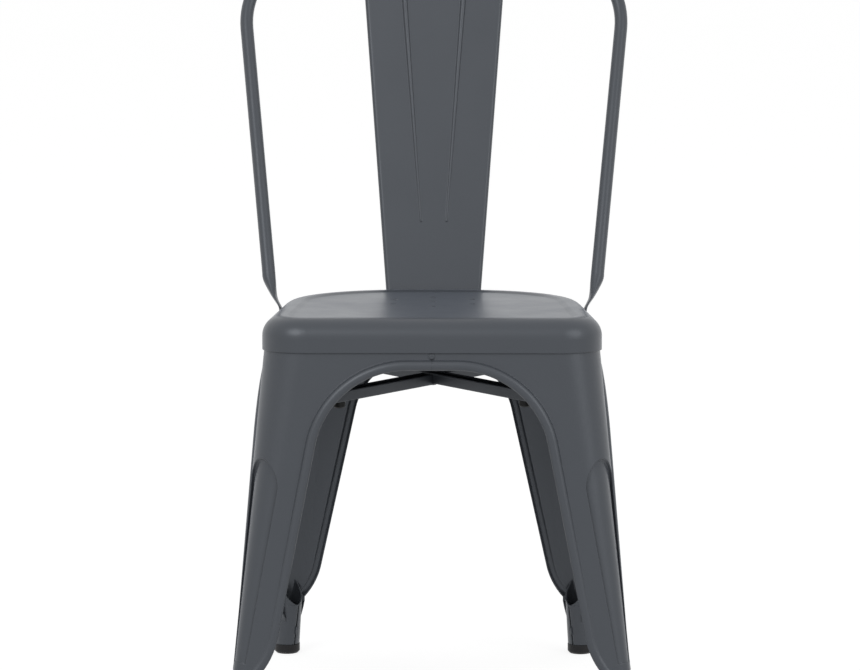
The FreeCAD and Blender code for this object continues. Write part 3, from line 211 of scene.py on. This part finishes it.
def moulded(name, colour, roughness, tool_grain):
    """Moulded black plastic or rubber with a fine tool grain and scuffs."""
    material, tree, bsdf = shader(name)
    link = tree.links.new
    grain = texture(tree, "Voronoi", tool_grain)
    scuff = texture(tree, "Noise", SCUFF)
    pale = tuple(SCUFF_LIGHTER * channel for channel in colour[:3]) + (1,)
    worn = remap(tree, scuff.outputs["Fac"], (0, 1), SCUFF_RANGE)
    link(blend_colour(tree, worn, colour, pale), bsdf.inputs["Base Color"])
    link(remap(tree, scuff.outputs["Fac"], roughness), bsdf.inputs["Roughness"])
    surface = bump(tree, grain.outputs["Distance"], GRAIN_DEPTH, GRAIN_STRENGTH)
    link(surface, bsdf.inputs["Normal"])
    bsdf.inputs["Specular IOR Level"].default_value = MOULDED_SPECULAR
    return material


coat = powder_coat("powder_coat", COAT, COAT_LIGHT)
weld_coat = powder_coat("coated_weld", WELD, COAT, WELD_GRAIN, rippled=True)
glide_plastic = moulded("glide_plastic", PLASTIC, GLIDE_ROUGHNESS, GLIDE_GRAIN)
bumper_rubber = moulded("bumper_rubber", RUBBER, BUMPER_ROUGHNESS, BUMPER_GRAIN)


def material_for(node):
    """The finish of a piece, by its name."""
    if node.endswith("_glide"):
        return glide_plastic
    if node.endswith("_bumper"):
        return bumper_rubber
    if "weld" in node or "tack" in node or "rivet" in node:
        return weld_coat
    return coat


def dress(mesh, material):
    """Gives a mesh its one material and smooth shading between its sharp edges."""
    mesh.materials.clear()
    mesh.materials.append(material)
    mesh.shade_smooth()
    mesh.set_sharp_from_angle(angle=SMOOTH_ANGLE)


for node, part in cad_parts.items():
    dress(part.data, material_for(node))


# Pieces at the feet: a collar inside each foot and a neck below each of its two walls
def grid_faces(rows, columns):
    """Quads of a grid whose points are numbered row by row."""
    corners = [r * columns + c for r in range(rows - 1) for c in range(columns - 1)]
    return [(a, a + 1, a + columns + 1, a + columns) for a in corners]


def grid_rim(rows, columns):
    """Points round the grid's edge, in order, ending where it began."""
    last = rows * columns
    top = list(range(columns))
    right = list(range(2 * columns - 1, last, columns))
    bottom = list(range(last - 2, last - columns - 1, -1))
    left = list(range(last - 2 * columns, -1, -columns))
    return top + right + bottom + left


def thin_sheet(name, outer, inner):
    """A closed thin sheet between two grids of points, each a list of equally long rows."""
    rows, columns = len(outer), len(outer[0])
    layer = rows * columns
    vertices = [point for grid in (outer, inner) for row in grid for point in row]
    faces = grid_faces(rows, columns)
    faces += [tuple(v + layer for v in face) for face in faces]
    rim = grid_rim(rows, columns)
    faces += [(a, b, b + layer, a + layer) for a, b in zip(rim, rim[1:])]
    mesh = bpy.data.meshes.new(name)
    mesh.from_pydata(vertices, [], faces)
    shape = bmesh.new()
    shape.from_mesh(mesh)
    bmesh.ops.recalc_face_normals(shape, faces=shape.faces)
    shape.to_mesh(mesh)
    shape.free()
    dress(mesh, coat)
    piece = bpy.data.objects.new(name, mesh)
    bpy.context.collection.objects.link(piece)
    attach(piece, "root")


class Foot:
    """One rolled foot: which way it stands from the middle, and its leaning axis."""

    def __init__(self, corner, side):
        self.name = f"{corner}_{side}"
        self.hand = 1 if side == "right" else -1
        self.facing = -1 if corner == "front" else 1
        low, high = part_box(f"{self.name}_glide")
        lean, splay = (math.tan(math.radians(angle)) for angle in LEANS[corner])
        self.base = Vector((
            (high[0] if self.hand > 0 else low[0]) - self.hand * GLIDE_RADIUS,
            (high[1] if self.facing > 0 else low[1]) - self.facing * GLIDE_RADIUS,
            GLIDE_HEIGHT,
        ))
        self.rise = Vector((
            -self.hand * (splay - self.facing * math.tan(PLAN_TAPER) * lean),
            -self.facing * lean,
            1,
        ))

    def axis(self, height):
        """The point of the foot's axis at a height."""
        return self.base + self.rise * (height - GLIDE_HEIGHT)

    def walls(self):
        """Outward normal and way to the middle: of the front or rear wall, then of the side wall."""
        across = math.cos(PLAN_TAPER)
        along = math.sin(PLAN_TAPER)
        face = (Vector((0, self.facing, 0)), Vector((-self.hand, 0, 0)))
        flank = (
            Vector((self.hand * across, along, 0)),
            Vector((self.hand * along, -across, 0)) * self.facing,
        )
        return face, flank


def collar_top(turn):
    """Height of the collar's rim at an angle from the slit."""
    if turn < CREST_TURN:
        share = ((turn - SLIT_TURN) / (CREST_TURN - SLIT_TURN)) ** COLLAR_SWEEP
    else:
        share = (LAST_TURN - turn) / (LAST_TURN - CREST_TURN)
    return FOOT_TOP + COLLAR_RISE * share


def foot_collar(foot, name, side):
    """Web inside the leg, on one side of the slit, that rises from the foot's rim to the sheet."""
    inward = math.atan2(-foot.facing, -foot.hand)
    start = FOOT_TOP - COLLAR_OVERLAP
    outer = []
    inner = []
    for step in range(STEPS + 1):
        turn = SLIT_TURN + (LAST_TURN - SLIT_TURN) * step / STEPS
        angle = inward + side * math.radians(turn)
        spoke = Vector((math.cos(angle), math.sin(angle), 0))
        rise = (collar_top(turn) - start) / RINGS
        axis = [foot.axis(start + rise * ring) for ring in range(RINGS + 1)]
        outer.append([point + spoke * COLLAR_RADIUS for point in axis])
        inner.append([point + spoke * (COLLAR_RADIUS - SHEET_WALL) for point in axis])
    thin_sheet(f"{foot.name}_{name}_collar", outer, inner)


def foot_neck(foot, name, wall, length):
    """Stretch of the sheet below a wall's end that curls in from flat until it lies on the foot."""
    normal, inward = wall
    outer = []
    inner = []
    for ring in range(RINGS + 1):
        share = ring / RINGS
        start = foot.axis(FOOT_TOP - NECK_DROP * share) + normal * (FOOT_RADIUS + NECK_CLEAR)
        curl = max(share ** NECK_CURL, NECK_LEAST_CURL) / FOOT_RADIUS
        outer_row = []
        inner_row = []
        for step in range(STEPS + 1):
            turn = curl * length * step / STEPS
            sine = math.sin(turn)
            cosine = math.cos(turn)
            point = start + (inward * sine - normal * (1 - cosine)) / curl
            outer_row.append(point)
            inner_row.append(point - (normal * cosine + inward * sine) * SHEET_WALL)
        outer.append(outer_row)
        inner.append(inner_row)
    thin_sheet(f"{foot.name}_{name}_neck", outer, inner)


for corner in LEANS:
    for side in ("left", "right"):
        foot = Foot(corner, side)
        foot_collar(foot, "fore", -1)
        foot_collar(foot, "aft", 1)
        for name, wall, length in zip(("face", "flank"), foot.walls(), NECK_LENGTHS[corner]):
            foot_neck(foot, name, wall, length)


# Studio
def background_rays(tree):
    """1 for rays from the camera, in reflections and through glass, else 0."""
    path = tree.nodes.new("ShaderNodeLightPath")
    result = path.outputs["Is Camera Ray"]
    for kind in ("Is Glossy Ray", "Is Transmission Ray"):
        either = tree.nodes.new("ShaderNodeMath")
        either.operation = "MAXIMUM"
        tree.links.new(result, either.inputs[0])
        tree.links.new(path.outputs[kind], either.inputs[1])
        result = either.outputs[0]
    return result


def white_world():
    """White to the camera and in reflections, and dimmer as a light."""
    world = bpy.data.worlds.new("studio")
    world.use_nodes = True
    tree = world.node_tree
    background = tree.nodes["Background"]
    background.inputs["Color"].default_value = WHITE
    strength = remap(tree, background_rays(tree), (WORLD_STRENGTH, 1))
    tree.links.new(strength, background.inputs["Strength"])
    bpy.context.scene.world = world


def floor():
    """Pale floor that is white to the camera and keeps the chair's shadow."""
    half = FLOOR_SIZE / 2
    mesh = bpy.data.meshes.new("floor")
    corners = [(-half, -half, 0), (half, -half, 0), (half, half, 0), (-half, half, 0)]
    mesh.from_pydata(corners, [], [(0, 1, 2, 3)])
    plane = bpy.data.objects.new("floor", mesh)
    bpy.context.collection.objects.link(plane)
    material, tree, bsdf = shader("pale_floor")
    bsdf.inputs["Base Color"].default_value = FLOOR_GREY
    bsdf.inputs["Roughness"].default_value = FLOOR_ROUGHNESS
    bsdf.inputs["Specular IOR Level"].default_value = 0
    bsdf.inputs["Emission Color"].default_value = WHITE
    glow = remap(tree, background_rays(tree), (0, FLOOR_GLOW))
    tree.links.new(glow, bsdf.inputs["Emission Strength"])
    mesh.materials.append(material)


def area_light(name, place, energy):
    """A soft round lamp that points at the chair."""
    data = bpy.data.lights.new(name, "AREA")
    data.shape = "DISK"
    data.size = LAMP_SIZE
    data.energy = energy
    lamp = bpy.data.objects.new(name, data)
    lamp.location = place
    x, y, z = (t - p for t, p in zip(LAMP_TARGET, place))
    lamp.rotation_euler = (math.atan2(math.hypot(x, y), -z), 0, math.atan2(-x, y))
    bpy.context.collection.objects.link(lamp)


def camera():
    """The photograph's camera."""
    data = bpy.data.cameras.new("camera")
    data.sensor_width = SENSOR_MILLIMETRES
    data.lens = LENS_MILLIMETRES
    data.clip_end = VIEW_DEPTH
    eye = bpy.data.objects.new("camera", data)
    eye.location = CAMERA_PLACE
    eye.rotation_euler = (math.radians(90 - CAMERA_PITCH), 0, math.radians(CAMERA_YAW))
    bpy.context.collection.objects.link(eye)
    bpy.context.scene.camera = eye


white_world()
floor()
camera()
area_light("key", KEY_PLACE, KEY_ENERGY)
area_light("fill", FILL_PLACE, FILL_ENERGY)
bpy.context.scene.view_settings.view_transform = "Standard"
